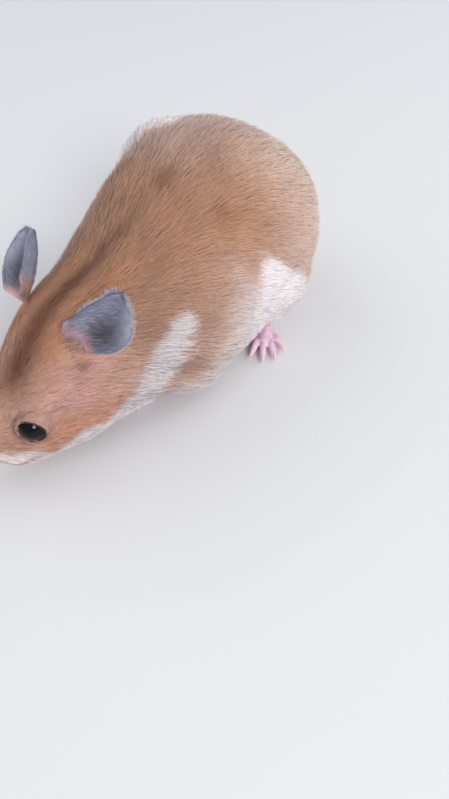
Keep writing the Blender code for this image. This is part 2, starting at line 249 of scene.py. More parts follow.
def tube(line, radii, sides=8, closed=False):
    """Points and faces of a tube along a line of points, closed in a loop or with flat ends."""
    line = np.asarray(line, float)
    count = len(line)
    along = np.roll(line, -1, 0) - np.roll(line, 1, 0) if closed else np.gradient(line, axis=0)
    along = unit_rows(along)
    first = unit_rows(np.cross(along, (0.31, 0.22, 0.92)))  # no line runs near this way
    second = np.cross(along, first)
    angles = np.arange(sides) * 2 * math.pi / sides
    ring = np.cos(angles)[None, :, None] * first[:, None] + np.sin(angles)[None, :, None] * second[:, None]
    points = (line[:, None] + ring * np.broadcast_to(radii, (count,))[:, None, None]).reshape(-1, 3)
    faces = []
    for i in range(count if closed else count - 1):
        a, b = i * sides, (i + 1) % count * sides
        for j in range(sides):
            k = (j + 1) % sides
            faces.append((a + j, a + k, b + k, b + j))
    if not closed:
        faces.append(tuple(range(sides))[::-1])
        faces.append(tuple(range((count - 1) * sides, count * sides)))
    return points, faces


def ball(name, centre, half_sizes, across=48, rings=32):
    shape = bmesh.new()
    bmesh.ops.create_uvsphere(shape, u_segments=across, v_segments=rings, radius=1)
    for vertex in shape.verts:
        vertex.co = Vector(centre) + Vector(c * h for c, h in zip(vertex.co, half_sizes))
    return from_bmesh(name, shape)


# ---------- places of eyes and nose
EYE_RADIUS = (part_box("eye_left")[1].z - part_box("eye_left")[0].z) / 2
EYE_AXIS = (0.625, -0.756, 0.197)  # the way the left eye looks
EYE_SLIT = (-0.707, -0.467, 0.448)  # roughly from the rear corner of the left eye's lids to the front one
LID_REACH = (0.86, 0.75)  # how far the lids stand from the eye's axis, along the slit and across, per radius
LID = EYE_RADIUS + 0.22 * MM  # the lids' outer side, from the eye's middle
NOSE = np.array(middle_of("nose"))
NOSE_HALF = (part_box("nose")[1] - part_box("nose")[0]) / 2


def eye_frame(side):
    """An eye's middle, the way it looks, the way its slit runs and the way across it."""
    axis, slit = Vector(EYE_AXIS), Vector(EYE_SLIT)
    if side < 0:
        left = Vector(LEFT)
        axis -= left * (2 * axis.dot(left))
        slit -= left * (2 * slit.dot(left))
    axis.normalize()
    slit = (slit - axis * slit.dot(axis)).normalized()
    return [np.array(v) for v in (middle_of("eye_" + WORDS[side]), axis, slit, axis.cross(slit))]


EYES = {side: eye_frame(side) for side in WORDS}


def seen_from_eye(side, points):
    """How far points are from an eye's middle, which way, and how far out from its lids' opening: 1 there."""
    centre, axis, slit, across = EYES[side]
    offset = points - centre
    reach = np.linalg.norm(offset, axis=1)
    way = offset / reach[:, None]
    ahead = way @ axis
    open_to = np.sqrt((way @ slit / LID_REACH[0]) ** 2 + (way @ across / LID_REACH[1]) ** 2)
    return reach, way, np.where(ahead > 0, open_to, 2 + np.abs(ahead))


def from_eye(points):
    """Distance in metres to the nearer eye's middle, less the eye's radius."""
    gaps = [np.linalg.norm(points - EYES[side][0], axis=1) for side in WORDS]
    return np.minimum(*gaps) - EYE_RADIUS


def nose_width(up):
    """The nose's width, which narrows down to the cleft of the lip. up is in half sizes."""
    return np.interp(up, (-1, -0.5, 0.2, 1), (0.42, 0.8, 1, 0.85))


def nose_axes(points):
    """Ahead, aside and up from the middle of the nose, as shares of its half sizes."""
    offset = points - NOSE
    up = offset[:, 2] / NOSE_HALF.z
    return offset @ AHEAD / NOSE_HALF.y, offset @ LEFT / NOSE_HALF.x / nose_width(up), up


# ---------- markings
GOLD = linear(190, 144, 115)
# The rear's paler, greyer gold is a painted highlight of the light falling on the rump.
RUMP_HIGHLIGHT_GOLD = linear(221, 195, 182)
FLANK_GOLD = linear(205, 171, 158)
SHOULDER_GOLD = linear(172, 130, 106)
CHEEK_GOLD = linear(216, 162, 136)
PINK_GOLD = linear(212, 168, 158)
# A painted sheen: bluish grey light along the top of the rump's right side.
FRINGE_SHEEN_GREY = linear(206, 184, 182)
GINGER = linear(208, 144, 98)
BROWN = linear(126, 80, 58)
STRIPE_BROWN = linear(102, 54, 32)
SMUDGE = linear(138, 96, 74)
CREAM = linear(244, 238, 240)
LIP_CREAM = linear(246, 228, 227)
# Painted shade along the mouth line and the cleft.
MOUTH_SHADE = linear(146, 96, 92)
SKIN_PINK = linear(214, 164, 162)
# The lids' edge: partly their own dark skin, partly painted shade of the lids.
LID_EDGE_AND_SHADE = linear(52, 40, 40)
NOSE_PINK = linear(204, 138, 138)
# Painted shade in the nostrils and the groove between them.
NOSTRIL_SHADE = linear(104, 52, 54)
EAR_BLUE = linear(124, 128, 149)
# Painted shade in the ear's hollow.
EAR_HOLLOW_SHADE = linear(72, 65, 78)
EAR_PALE = linear(186, 194, 217)
EAR_HAIR = linear(206, 208, 222)
EAR_PINK = linear(166, 126, 138)
FOOT_PINK = linear(234, 196, 216)
TOE_PALE = linear(240, 216, 226)
CLAW_HORN = linear(232, 214, 208)
WHISKER_PALE = linear(226, 220, 216)
EYE_BLACK = linear(10, 8, 9)

# Outlines of the markings. Each pair of rows gives places and the values there.
STRIPE_WIDTH = (8, 20, 34, 46, 54), (1.5, 1.9, 2.2, 3.7, 3.6)  # forward places, half widths
STRIPE_MIDDLE = (10, 20, 35, 50), (-0.6, -1.4, 0.3, 2)
THIGH_PATCH_BACK = (0, 14, 20, 28, 35.5), (-28, -25.5, -22.5, -14.5, -7.5)  # heights, forward places
THIGH_PATCH_FRONT = (0, 14, 20, 28, 35.5), (2, 2, 1.4, -0.6, -6.5)
THIGH_PATCH_TOP = 36
HIP_PATCH_FRONT = (0, 28, 40, 46), (3, 0, -5.5, -9)  # the right side's patch is a taller one
HIP_PATCH_INNER = (-30, -24, -18.6, -15.5, -13.2, -10.9, -9), (9, 10.6, 12.8, 14.8, 16.4, 18, 20)
HEM_TOP = (2, 5, 8, 11, 15, 19, 23), (44, 41, 36, 30, 20, 18, 16.5)  # the flank's paler lower edge
HEM_FULL = (2, 5, 8, 11, 15, 19, 23), (21, 20, 16, 13.5, 12.5, 12, 11.5)
FOLD_UP = (14.5, 16.4, 18, 20, 26), (26, 23, 20.6, 19.8, 19.8)  # the level crease above the elbow
BELLY_TOP = (  # how high the white of the belly reaches
    (-50, -40, -20, 10, 20, 28, 32, 36, 41, 44, 47, 50, 53, 56.5, 59.5, 66),
    (15, 10, 9, 9, 8, 10, 14, 12.5, 12.5, 13.5, 13, 10, 8.5, 11, 13.4, 12.4),
)
MOUTH_UP = (54, 58, 62, 66, 68), (9.4, 8.6, 8.2, 8.9, 9.8)
FLASH_LOW = (28.6, 18)  # forward place and height of the shoulder flash's lower end
FLASH_RISE = (-0.643, 0.766)  # forward and up, along the flash
FLASH_LENGTH = 19.5
FLASH_BOW = (0, 0.5, 1), (0.8, 1.7, 0.9)  # how far its middle line stands forward, along it
FLASH_HALF = (-0.3, 0, 0.5, 0.85, 1), (5, 4, 3.6, 2.2, 0.6)  # its half width, along it
BARE_BELOW_EAR = (39, 12.6, 31, 2.7)  # forward, side, up and radius
# Painted shade in the crease below the ear, placed the same way.
CREASE_SHADE_BELOW_EAR = (41.6, 11.4, 31.2, 1.3)


def mouth_line(forward, side, up, width):
    """1 along the mouth and along the cleft that runs up from it to the nose."""
    mouth = hump(up, np.interp(forward, *MOUTH_UP), width) * ramp(forward, 54, 58)
    cleft = hump(side, 0, 0.6 * width) * window(up, 8.5, 9.5, 11.8, 12.5) * ramp(forward, 64.5, 66)
    return np.clip(mouth + cleft, 0, 1)


def spot(points, place):
    """A round spot on both sides of the body: forward, side, up and radius in body units."""
    forward, side, up = body_units(points)
    away = np.stack((forward - place[0], np.abs(side) - place[1], up - place[2]), 1)
    return hump(np.linalg.norm(away, axis=1), 0, place[3])


def on_tail(points):
    """1 on the free part of the tail."""
    forward, _, up = body_units(points)
    return ramp(forward, -48.4, -50) * ramp(up, 21.5, 19.5)


def thigh_patch(forward, side, up, edge):
    """1 in the white patch on each thigh. Their outlines differ, and edge makes them uneven."""
    out = np.abs(side)
    front, back = np.interp(up, *THIGH_PATCH_FRONT), np.interp(up, *THIGH_PATCH_BACK)
    left = window(forward, back - 1.4, back + 1.8, front - 2.6, front + 4)
    left *= ramp(up + edge, THIGH_PATCH_TOP + 2, THIGH_PATCH_TOP - 2) * ramp(out, 16, 21)
    front, inner = np.interp(up, *HIP_PATCH_FRONT), np.interp(forward, *HIP_PATCH_INNER)
    right = window(forward, -26, -22, front - 2, front + 2)
    right *= ramp(out + 0.5 * edge, inner - 0.8, inner + 1)
    return np.where(side > 0, left, right)


def shoulder_flash(forward, up, edge):
    """1 in the pale band that rises from the chest over the shoulder."""
    along = (forward - FLASH_LOW[0]) * FLASH_RISE[0] + (up - FLASH_LOW[1]) * FLASH_RISE[1]
    across = (forward - FLASH_LOW[0]) * FLASH_RISE[1] - (up - FLASH_LOW[1]) * FLASH_RISE[0]
    across = across + 0.35 * edge - np.interp(along / FLASH_LENGTH, *FLASH_BOW)
    half = np.interp(along / FLASH_LENGTH, *FLASH_HALF)
    return ramp(np.abs(across), half + 1.3, half - 1.3) * ramp(along, FLASH_LENGTH + 1, FLASH_LENGTH - 2)


def coat_colours(points):
    """The coat's colour halfway along its hairs, which the skin below shares."""
    forward, side, up = body_units(points)
    out = np.abs(side)
    edge = ripple(points, 5 * MM, 11) * 0.9 + ripple(points, 1.6 * MM, 12) * 0.5

    strength = ramp(forward, 4, 22) * ramp(forward, 60, 50) * ramp(up, 20, 27)
    strength *= 1 - 0.3 * hump(forward, 20, 8)
    width, middle = np.interp(forward, *STRIPE_WIDTH), np.interp(forward, *STRIPE_MIDDLE)
    stripe = hump(side + 0.25 * edge, middle, width) * strength
    spine = hump(side, 0, 9) * ramp(up, 34, 44) * window(forward, -40, -20, 14, 30)
    glands = hump(forward, -0.6, 2.9) * hump(side, 0.2, 2.3)
    glands += 0.62 * hump(forward, -2.6, 2.8) * hump(out, 15.9, 2.6)
    smudge = np.clip(glands * ramp(up, 36, 42), 0, 1)
    fold = hump(up, np.interp(forward, *FOLD_UP) - 0.6, 1.9) * window(forward, 14, 18, 24, 28)
    hem = ramp(up + 0.8 * edge, np.interp(forward, *HEM_TOP), np.interp(forward, *HEM_FULL))
    hem = hem * window(forward, -2, 2, 22, 27) * ramp(out, 13, 18)
    belly_top = np.interp(forward, *BELLY_TOP)
    white = ramp(up + 0.8 * edge, belly_top + 1.6, belly_top - 1.6) + thigh_patch(forward, side, up, edge)
    lips = ramp(forward, 54, 57.5) * ramp(up + 0.4 * edge, 14.6, 12)
    face = ramp(forward, 30, 42)
    eye_ring = ramp(from_eye(points), 2 * MM, 0.5 * MM) * ramp(forward, 44, 48)
    rows = painted(
        GOLD,
        (FLANK_GOLD, ramp(up, 44, 26)),
        # painted highlight: the rear made paler and greyer towards the tail
        (RUMP_HIGHLIGHT_GOLD, ramp(forward, -6, -34)),
        (SHOULDER_GOLD, hump(forward, 23, 12) * ramp(up, 22, 30) * 0.95),
        (CHEEK_GOLD, face * 0.6),
        (PINK_GOLD, hump(forward, 46.5, 7) * ramp(out, 6, 10) * hump(up, 25, 7) * 0.95),
        (GINGER, hump(out, 5.6, 2.6) * window(forward, 14, 26, 44, 52) * ramp(up, 30, 36) * 0.6),
        (CHEEK_GOLD, face * ramp(up, 24, 16) * ramp(out, 6, 9)),
        (GOLD * 0.84, spine * 0.55),
        # painted sheen of light along the top of the rump's right side
        (FRINGE_SHEEN_GREY, ramp(forward, 4, -14) * ramp(side, 14, -6) * ramp(up, 30, 40) * 0.45),
        (CREAM * 0.92, hem * 0.7),
        # painted shade in the level crease above the elbow
        (BROWN, fold * ramp(out, 13, 17) * 0.45),
        (SMUDGE, smudge * 0.8),
        (STRIPE_BROWN, stripe * 0.85),
        (CREAM * 0.8, shoulder_flash(forward, up, edge) * ramp(out, 10, 14) * 0.92),
        (CREAM, np.clip(white, 0, 1) * 0.95),
        (LIP_CREAM, lips * 0.85),
        # painted shade along the mouth and the cleft
        (MOUTH_SHADE, mouth_line(forward, side, up, 0.8) * 0.6),
        (SKIN_PINK * 1.1, spot(points, BARE_BELOW_EAR) * 0.75),
        # painted shade in the crease below the ear
        (BROWN * 0.8, spot(points, CREASE_SHADE_BELOW_EAR) * 0.7),
        (PINK_GOLD * 0.85, eye_ring * 0.5),
        (SKIN_PINK, ramp(up, 7, 4) * 0.6),
        (SKIN_PINK * 1.15, on_tail(points) * 0.45),
    )
    rows *= 1 + 0.05 * ripple(points, 7 * MM, 21)[:, None]
    return np.clip(rows, 0, 1)


def set_colours(mesh, rows):
    """Keeps a colour for each vertex in the attribute that the materials read."""
    attribute = mesh.color_attributes.new("tint", "FLOAT_COLOR", "POINT")
    full = np.ones((len(rows), 4), np.float32)
    full[:, :3] = rows
    attribute.data.foreach_set("color", full.ravel())


# ---------- materials
def noise(tree, scale, detail=3):
    """Fine procedural noise over the object's own space."""
    coordinates = tree.nodes.new("ShaderNodeTexCoord")
    node = tree.nodes.new("ShaderNodeTexNoise")
    node.inputs["Scale"].default_value = scale
    node.inputs["Detail"].default_value = detail
    tree.links.new(coordinates.outputs["Object"], node.inputs["Vector"])
    return node.outputs["Fac"]


def noise_between(tree, scale, low, high):
    """Noise stretched to run from low to high."""
    node = tree.nodes.new("ShaderNodeMapRange")
    for socket, value in (("From Min", 0.3), ("From Max", 0.7), ("To Min", low), ("To Max", high)):
        node.inputs[socket].default_value = value
    tree.links.new(noise(tree, scale), node.inputs["Value"])
    return node.outputs["Result"]


def uneven_material(name, tone, rough, colour=None, **constants):
    """The mesh's tint, or one colour, with uneven lightness and roughness. tone and rough are the scale
    of their noise, its least and its most. The constants are set on the shader's own sockets."""
    made = bpy.data.materials.new(name)
    made.use_nodes = True
    tree = made.node_tree
    shader = tree.nodes["Principled BSDF"]
    for socket, value in constants.items():
        shader.inputs[socket.replace("_", " ")].default_value = value
    if colour is None:
        source = tree.nodes.new("ShaderNodeAttribute")
        source.attribute_name = "tint"
    else:
        source = tree.nodes.new("ShaderNodeRGB")
        source.outputs[0].default_value = (*colour, 1)
    shade = tree.nodes.new("ShaderNodeHueSaturation")
    tree.links.new(source.outputs["Color"], shade.inputs["Color"])
    tree.links.new(noise_between(tree, *tone), shade.inputs["Value"])
    tree.links.new(shade.outputs["Color"], shader.inputs["Base Color"])
    tree.links.new(noise_between(tree, *rough), shader.inputs["Roughness"])
    return made


def fur_material(name, low, high):
    return uneven_material(name, (900, 0.93, 1.07), (1400, low, high), Roughness=low,
                           Specular_IOR_Level=0.32, Sheen_Weight=0.12, Sheen_Roughness=0.45)


def skin_material():
    made = uneven_material("bare_skin", (1500, 0.9, 1.08), (2600, 0.38, 0.62), Roughness=0.5,
                           Specular_IOR_Level=0.4)
    tree = made.node_tree
    bump = tree.nodes.new("ShaderNodeBump")
    bump.inputs["Strength"].default_value = 0.35
    bump.inputs["Distance"].default_value = 0.12 * MM
    tree.links.new(noise(tree, 3800, 4), bump.inputs["Height"])
    tree.links.new(bump.outputs["Normal"], tree.nodes["Principled BSDF"].inputs["Normal"])
    return made


def eye_material():
    return uneven_material("dark_eye", (420, 0.6, 1.5), (700, 0.05, 0.09), EYE_BLACK, Roughness=0.05,
                           Specular_IOR_Level=0.22)


def horn_material(name, colour, scale, low, high):
    """A smooth material for claws and whiskers."""
    return uneven_material(name, (scale, 0.86, 1.06), (2 * scale, low, high), colour, Roughness=low,
                           Specular_IOR_Level=0.45)


# ---------- the skin
GROWN = 0.55 * MM  # how far the solids are swollen so that they grow together
SKIN_VOXEL = 0.45 * MM
COAT_DEPTH = (  # forward places, millimetres
    (-55, -51, -46, -38, -10, 10, 24, 34, 42, 49, 55, 60, 64, 68),
    (0.4, 1, 2.1, 2.6, 2.5, 2.3, 2, 1.6, 1.2, 0.85, 0.65, 0.5, 0.35, 0.2),
)
RIM_POINTS = 56


def coat_depth(points):
    """How far the tips of the coat stand off the skin, in metres."""
    forward, side, up = body_units(points)
    out = np.abs(side)
    depth = np.interp(forward, *COAT_DEPTH) * (1 - 0.45 * ramp(up, 9, 5))
    depth += 0.5 * hump(forward, 41, 9) * ramp(up, 24, 15) * ramp(out, 6, 11)
    depth = np.minimum(depth, 0.28 + np.maximum(from_eye(points), 0) / MM * 0.22)
    leg = ramp(up, 8, 4) * ramp(out, 1, 3)
    return depth * (1 - 0.6 * leg) * (1 - 0.35 * on_tail(points)) * MM


def swollen(node):
    """A copy of a solid, pushed out along its normals."""
    shape = bmesh.new()
    shape.from_mesh(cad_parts[node].data)
    bmesh.ops.remove_doubles(shape, verts=shape.verts, dist=1e-6)
    mesh = bpy.data.meshes.new(node + "_flesh")
    shape.to_mesh(mesh)
    shape.free()
    set_points(mesh, points_of(mesh) + normals_of(mesh) * GROWN)
    return new_object(mesh.name, mesh)


def ankle_fill(foot):
    """Fills the room that a leg leaves round its foot's ankle."""
    low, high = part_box(foot)
    ahead, down = (2.6, 2.4) if foot.startswith("fore") else (3.2, 2.2)
    centre = ((low.x + high.x) / 2, high.y - ahead * MM, high.z - down * MM)
    return ball(foot + "_fill", centre, (2.7 * MM, 2.7 * MM, 3.2 * MM), 24, 16)


def shaped_lids(points):
    """Wraps the skin round the eyeballs, open in front of them."""
    points = points.copy()
    for side in WORDS:
        centre, axis = EYES[side][:2]
        reach, way, open_to = seen_from_eye(side, points)
        near = np.flatnonzero(reach < 2.3 * EYE_RADIUS)
        reach, way, open_to = reach[near], way[near], open_to[near]
        made = LID + (np.maximum(reach, LID) - LID) * ramp(open_to, 1.02, 1.7)
        made = np.where(open_to < 0.98, EYE_RADIUS * 0.86, made)
        # Skin behind the eye's middle is left alone.
        share = ramp(way @ axis, -0.25, 0.05)
        points[near] = centre + way * (reach + (made - reach) * share)[:, None]
    return points


def softened_round_eyes(points, edges):
    """Fills the crease where the lids run out into the face, and leaves the lids' edge sharp."""
    soft = relaxed(points, edges, 30)
    for side in WORDS:
        centre = EYES[side][0]
        reach, _, open_to = seen_from_eye(side, points)
        share = ramp(open_to, 1.06, 1.4) * ramp(reach, 2.4 * EYE_RADIUS, 1.8 * EYE_RADIUS)
        away = mix(points, soft, share) - centre
        # Smoothing draws the skin in, and here it may not come nearer than the lids.
        moved = np.maximum(np.linalg.norm(away, axis=1), 1e-9)
        least = np.where(share > 0, np.maximum(moved, np.minimum(reach, LID)), moved)
        points = centre + away * (least / moved)[:, None]
    return points


def grooves(points, normals):
    """Sinks the mouth line and the level crease above the elbow."""
    forward, side, up = body_units(points)
    fold = hump(up, np.interp(forward, *FOLD_UP), 1.5) * window(forward, 14, 18, 25, 29)
    fold *= ramp(np.abs(side), 12, 16)
    sunk = 0.5 * mouth_line(forward, side, up, 0.7) + 0.9 * fold
    return points - normals * (sunk * MM)[:, None]


def furred_skin():
    """The skin of the furred parts, one closed surface a coat's depth inside the solids."""
    pieces = [swollen(node) for node in (*FURRED, "eye_left", "eye_right", "nose")]
    pieces += [ankle_fill(foot) for foot in FEET]
    made = remeshed(join("skin", pieces), SKIN_VOXEL)
    mesh = made.data
    edges = edges_of(mesh)
    points = relaxed(points_of(mesh), edges, 14)
    set_points(mesh, points)
    normals = unit_rows(relaxed(normals_of(mesh), edges, 10))
    points = relaxed(points - normals * (coat_depth(points) + GROWN)[:, None], edges, 3)
    points = shaped_lids(grooves(points, normals))
    set_points(mesh, softened_round_eyes(points, edges))
    return made


def lid_rim(side):
    """The dark bare edge of an eye's lids, its darkness partly their own and partly painted shade of the
    lids.
    """
    centre, axis, slit, across = EYES[side]
    line = []
    for k in range(RIM_POINTS):
        angle = 2 * math.pi * k / RIM_POINTS
        # The front corner is drawn out a little.
        corner = 1 + 0.1 * max(math.cos(angle), 0) ** 8
        a = LID_REACH[0] * math.cos(angle) * corner
        b = LID_REACH[1] * math.sin(angle)
        ahead = math.sqrt(max(0, 1 - a * a - b * b))
        line.append(centre + (axis * ahead + slit * a + across * b) * (EYE_RADIUS + 0.08 * MM))
    return from_rows("rim", *tube(line, 0.2 * MM, 8, True))


def eyeball(side):
    """A glossy eye with a slightly fuller front."""
    centre, axis = EYES[side][:2]
    made = ball("eyeball_" + WORDS[side], centre, (EYE_RADIUS,) * 3, 64, 48)
    offset = points_of(made.data) - centre
    front = np.clip(unit_rows(offset) @ axis, 0, 1)
    set_points(made.data, centre + offset * (1 + 0.02 * front**3)[:, None])
    return made


def nostrils(aside, up):
    """1 in the two comma-shaped nostrils, which run up and out, and fading out round them."""
    out = np.abs(aside)
    line = -0.28 + 0.85 * np.clip(out - 0.3, 0, 0.6)
    return hump(up, line, 0.2) * window(out, 0.16, 0.34, 0.74, 0.98)


def nose_pad():
    """The bare nose with its two nostrils and the groove between them, and its colours, with painted shade in
    the nostrils and the groove.
    """
    made = ball("nose_pad", NOSE, NOSE_HALF * 1.06, 112, 80)
    points = points_of(made.data)
    narrow = nose_width((points[:, 2] - NOSE[2]) / NOSE_HALF.z)
    points = points + LEFT * ((points - NOSE) @ LEFT * (narrow - 1))[:, None]
    forward, aside, up = nose_axes(points)
    front = ramp(forward, 0, 0.3)
    hole = nostrils(aside, up) * front
    groove = hump(aside, 0, 0.09) * ramp(up, 0.3, -0.2) * front
    bulge = hump(np.abs(aside), 0.5, 0.3) * hump(up, 0.25, 0.4) * front
    moved = 0.12 * bulge - 0.55 * hole - 0.25 * groove
    set_points(made.data, points + AHEAD * (moved * MM)[:, None])
    pink = NOSE_PINK * (1 + 0.08 * ripple(points, 1 * MM, 82))[:, None]
    # painted shade in the nostril openings and the groove between them
    dark = np.clip(1.25 * hole, 0, 1) * 0.9
    return made, painted(pink, (NOSTRIL_SHADE, dark), (NOSTRIL_SHADE, groove * 0.55))


# ---------- ears
EAR_WAYS = {  # the side, the way from root to tip, and the way the hollow looks
    "ear_left": (1, (0.28, 0.76, 0.58), (0.55, -0.62, 0.56)),
    "ear_right": (-1, (-0.2, 0.74, 0.64), (-0.25, -0.78, 0.57)),
}
EAR_HEIGHT = 14  # body units
# Reach in body units from the ear's middle line to its edges, at shares of its height.
EAR_OUTER = ((0, 0.12, 0.25, 0.45, 0.65, 0.84, 0.95, 1), (2.6, 4.8, 6.6, 7.3, 6.6, 4.2, 2.2, 0.5))
EAR_INNER = ((0, 0.2, 0.5, 0.8, 0.95, 1), (3.6, 5.2, 4.6, 3, 1.6, 0.5))
EAR_LOWEST = -0.36  # where the hidden root ends, as a share of the height
EAR_ROOT_WAY = np.array((-0.4, 0.25, -0.88))  # the way the left ear's root goes down into the head
EAR_ROOT_TAPER = 2  # how fast the root narrows, in shares of its width per share of the ear's height
EAR_ROWS = 56
EAR_COLUMNS = 44


def ear_reach(along, share):
    """How far the ear's edge on this side is from its middle line, with the outline's bends eased."""
    near = [along + 0.04 * k for k in (-2, -1, 0, 1, 2)]
    outer = sum(np.interp(place, *EAR_OUTER) for place in near) / len(near)
    inner = sum(np.interp(place, *EAR_INNER) for place in near) / len(near)
    rounded_tip = np.sqrt(np.clip((1 - along) / 0.07, 0.001, 1))
    return np.where(share > 0, outer, inner) * rounded_tip


def ear_point(along, share):
    """Sideways, up and ahead in an ear's own axes, in body units. share runs from -1 to 1 across."""
    high = np.maximum(along, 0)
    cup = 3.4 * share**2 * (1 - 0.5 * high) + 2 * high**3
    # The front margin rolls over into the hollow.
    roll = np.clip((-share - 0.55) / 0.45, 0, 1) * window(along, 0, 0.3, 0.75, 1)
    ridges = 0.12 * np.sin(along * 44) * (1 - share**2) * window(along, 0.1, 0.3, 0.55, 0.75)
    return share * ear_reach(along, share) + 1.1 * roll**2, EAR_HEIGHT * along, cup + 1.5 * roll + ridges


def ear_axes(name):
    """The ear's side of the head, and the ways across it outwards, up it, and ahead of its hollow."""
    side, axis, face = EAR_WAYS[name]
    axis = Vector(axis).normalized()
    face = Vector(face)
    face = (face - axis * face.dot(axis)).normalized()
    return side, np.array(axis.cross(face)) * side, np.array(axis), np.array(face)


def ear_skin(name):
    """A thin cupped ear, its root carried down through the head's coat, and its root point."""
    side, outward, axis, face = ear_axes(name)
    steps = np.sin(np.linspace(0, 0.5 * math.pi, EAR_ROWS))
    shares = np.sin(np.linspace(-0.5 * math.pi, 0.5 * math.pi, EAR_COLUMNS))
    share = np.concatenate((shares, shares[::-1]))
    layer = np.repeat((1, -1), EAR_COLUMNS)
    each = len(share)
    points, faces = [], []
    for i, along in enumerate(EAR_LOWEST + (1 - EAR_LOWEST) * steps):
        across, up, ahead = ear_point(along, share)
        half = (0.17 + 0.22 * (1 - max(along, 0))) * (0.3 + 0.7 * np.sqrt(1 - share**4))
        ahead = ahead + layer * half
        rise = up * axis if up > 0 else -up * EAR_ROOT_WAY * (side, 1, 1)
        squeeze = 1 + EAR_ROOT_TAPER * min(along, 0)
        points.append(((across[:, None] * outward + ahead[:, None] * face) * squeeze + rise) * UNIT)
        if i:
            a, b = (i - 1) * each, i * each
            faces += [(a + j, a + (j + 1) % each, b + (j + 1) % each, b + j) for j in range(each)]
    last = (EAR_ROWS - 1) * each
    faces += [tuple(range(each))[::-1], tuple(range(last, last + each))]
    points = np.vstack(points)
    low, high = (np.array(corner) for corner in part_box(name))
    # The solid's rim shows where the ear stands: its outermost, rearmost and highest places.
    outermost = high[0] - points[:, 0].max() if side > 0 else low[0] - points[:, 0].min()
    root = np.array((outermost, high[1] - points[:, 1].max(), high[2] - points[:, 2].max()))
    if side < 0:
        faces = [face[::-1] for face in faces]
    return from_rows(name + "_skin", points + root, faces), root


def ear_places(name, root, points, normals):
    """How far up an ear points are, where across it, and how far each belongs to its hollow side."""
    _, outward, axis, face = ear_axes(name)
    offset = (points - root) / UNIT
    along = offset @ axis / EAR_HEIGHT
    sideways = offset @ outward
    across = np.clip(sideways / ear_reach(along, sideways), -1, 1)
    return along, across, ramp(normals @ face, -0.1, 0.3)


def ear_colours(name, root, points, normals):
    """Painted shade in the hollow, bluish and paler towards the outer rim, and pink by the root."""
    along, share, hollow = ear_places(name, root, points, normals)
    inside = painted(
        EAR_BLUE,
        (EAR_PALE, ramp(share, 0.35, 0.95) * ramp(along, 0.25, 0.7)),
        # painted shade in the hollow
        (EAR_HOLLOW_SHADE, hump(share, 0.35, 0.55) * hump(along, 0.32, 0.32)),
        (EAR_PALE * 0.85, ramp(share, -0.75, -0.95)),
        (EAR_PINK, ramp(along, 0.24, 0.04) * ramp(share, 0.7, 0.2) * 0.9),
        (SKIN_PINK, ramp(along, 0.12, 0) * ramp(share, 0, 0.6)),
    )
    back = mix(EAR_BLUE * 0.95, EAR_PINK * 0.8, ramp(along, 0.3, 0) * 0.6)
    return mix(back, inside, hollow) * (1 + 0.07 * ripple(points, 1.6 * MM, 71))[:, None]


# ---------- feet
FOOT_VOXEL = 0.24 * MM
HIND_FOOT = {"length": 12.6, "turn": 32.5, "width": 3.5, "toes": (3.6, 5.3, 5.9, 5.5, 4), "spread": 36}
FORE_FOOT = {"length": 5.8, "turn": 0, "width": 2.7, "toes": (3.4, 4.4, 4.4, 3.2), "spread": 26}
CLAW_LENGTH = 1.5  # body units


def limb_piece(line, radii):
    """Part of a foot: a tube along a line of points in body units, with a ball at each end."""
    line, radii = (np.array(rows, float) * UNIT for rows in (line, radii))
    pieces = [from_rows("limb", *tube(line, radii, 16))]
    pieces += [ball("joint", point, (radius,) * 3, 16, 12) for point, radius in zip(line, radii)]
    return join("limb", pieces)


def pad(centre, *half_sizes):
    """A pad of the sole, in body units."""
    return ball("pad", centre * UNIT, [size * UNIT for size in half_sizes], 16, 12)


def foot_pieces(spec):
    """A left foot's flesh, and its claws as three points each, with the heel at the origin."""
    turn = math.radians(spec["turn"])
    aim = Vector((math.sin(turn), -math.cos(turn), 0))
    across = Vector((-aim.y, aim.x, 0))  # towards the outer side
    up = Vector(UP)
    width, count = spec["width"], len(spec["toes"])
    ball_of_foot = aim * spec["length"]
    heel = up * 2.2
    flesh = [
        limb_piece([heel, aim * 1.2 + up * 4.8, aim * 2.4 + up * 8.4], [2.5, 2.6, 2.8]),
        limb_piece([heel, ball_of_foot * 0.5 + heel, ball_of_foot + up * 1.6],
                   [2.4, width * 0.62, width * 0.56]),
    ]
    claws = []
    for k, length in enumerate(spec["toes"]):
        share = 2 * k / (count - 1) - 1
        angle = math.radians(share * spec["spread"])
        way = aim * math.cos(angle) + across * math.sin(angle)
        root = ball_of_foot + across * (share * width * 0.8) - aim * (share**2 * 1.8 + 0.8)
        knuckle, tip = root + way * (length * 0.45), root + way * length
        line = [root - way * 2.2 + up * 1.9, root + up * 1.5, knuckle + up * 2.1, tip + up * 1.15]
        flesh.append(limb_piece(line, [1.1, 1.1, 0.98, 0.86]))
        flesh.append(pad(root + way * 0.4 + up * 0.75, 1.15, 1.15, 0.85))
        flesh.append(pad(tip - way * 0.1 + up * 0.8, 0.85, 0.95, 0.8))
        bend = tip + way * (0.4 + CLAW_LENGTH * 0.55) + up * 1.35
        claws.append((tip + way * 0.35 + up * 1.45, bend, tip + way * (0.4 + CLAW_LENGTH) + up * 0.45))
    for sideways, back in ((-0.5, 2.6), (0.45, 2.8), (0, 5.2)):
        flesh.append(pad(ball_of_foot + across * (sideways * width) - aim * back + up * 0.8, 1.2, 1.2, 0.9))
    return flesh, claws


def claw(points):
    """A tapering curved claw through three points in body units."""
    a, b, c = (np.array(p) * UNIT for p in points)
    line = [(1 - t) ** 2 * a + 2 * t * (1 - t) * b + t * t * c for t in np.linspace(0, 1, 9)]
    return from_rows("claw", *tube(line, np.linspace(0.52, 0.1, 9) * UNIT, 10))


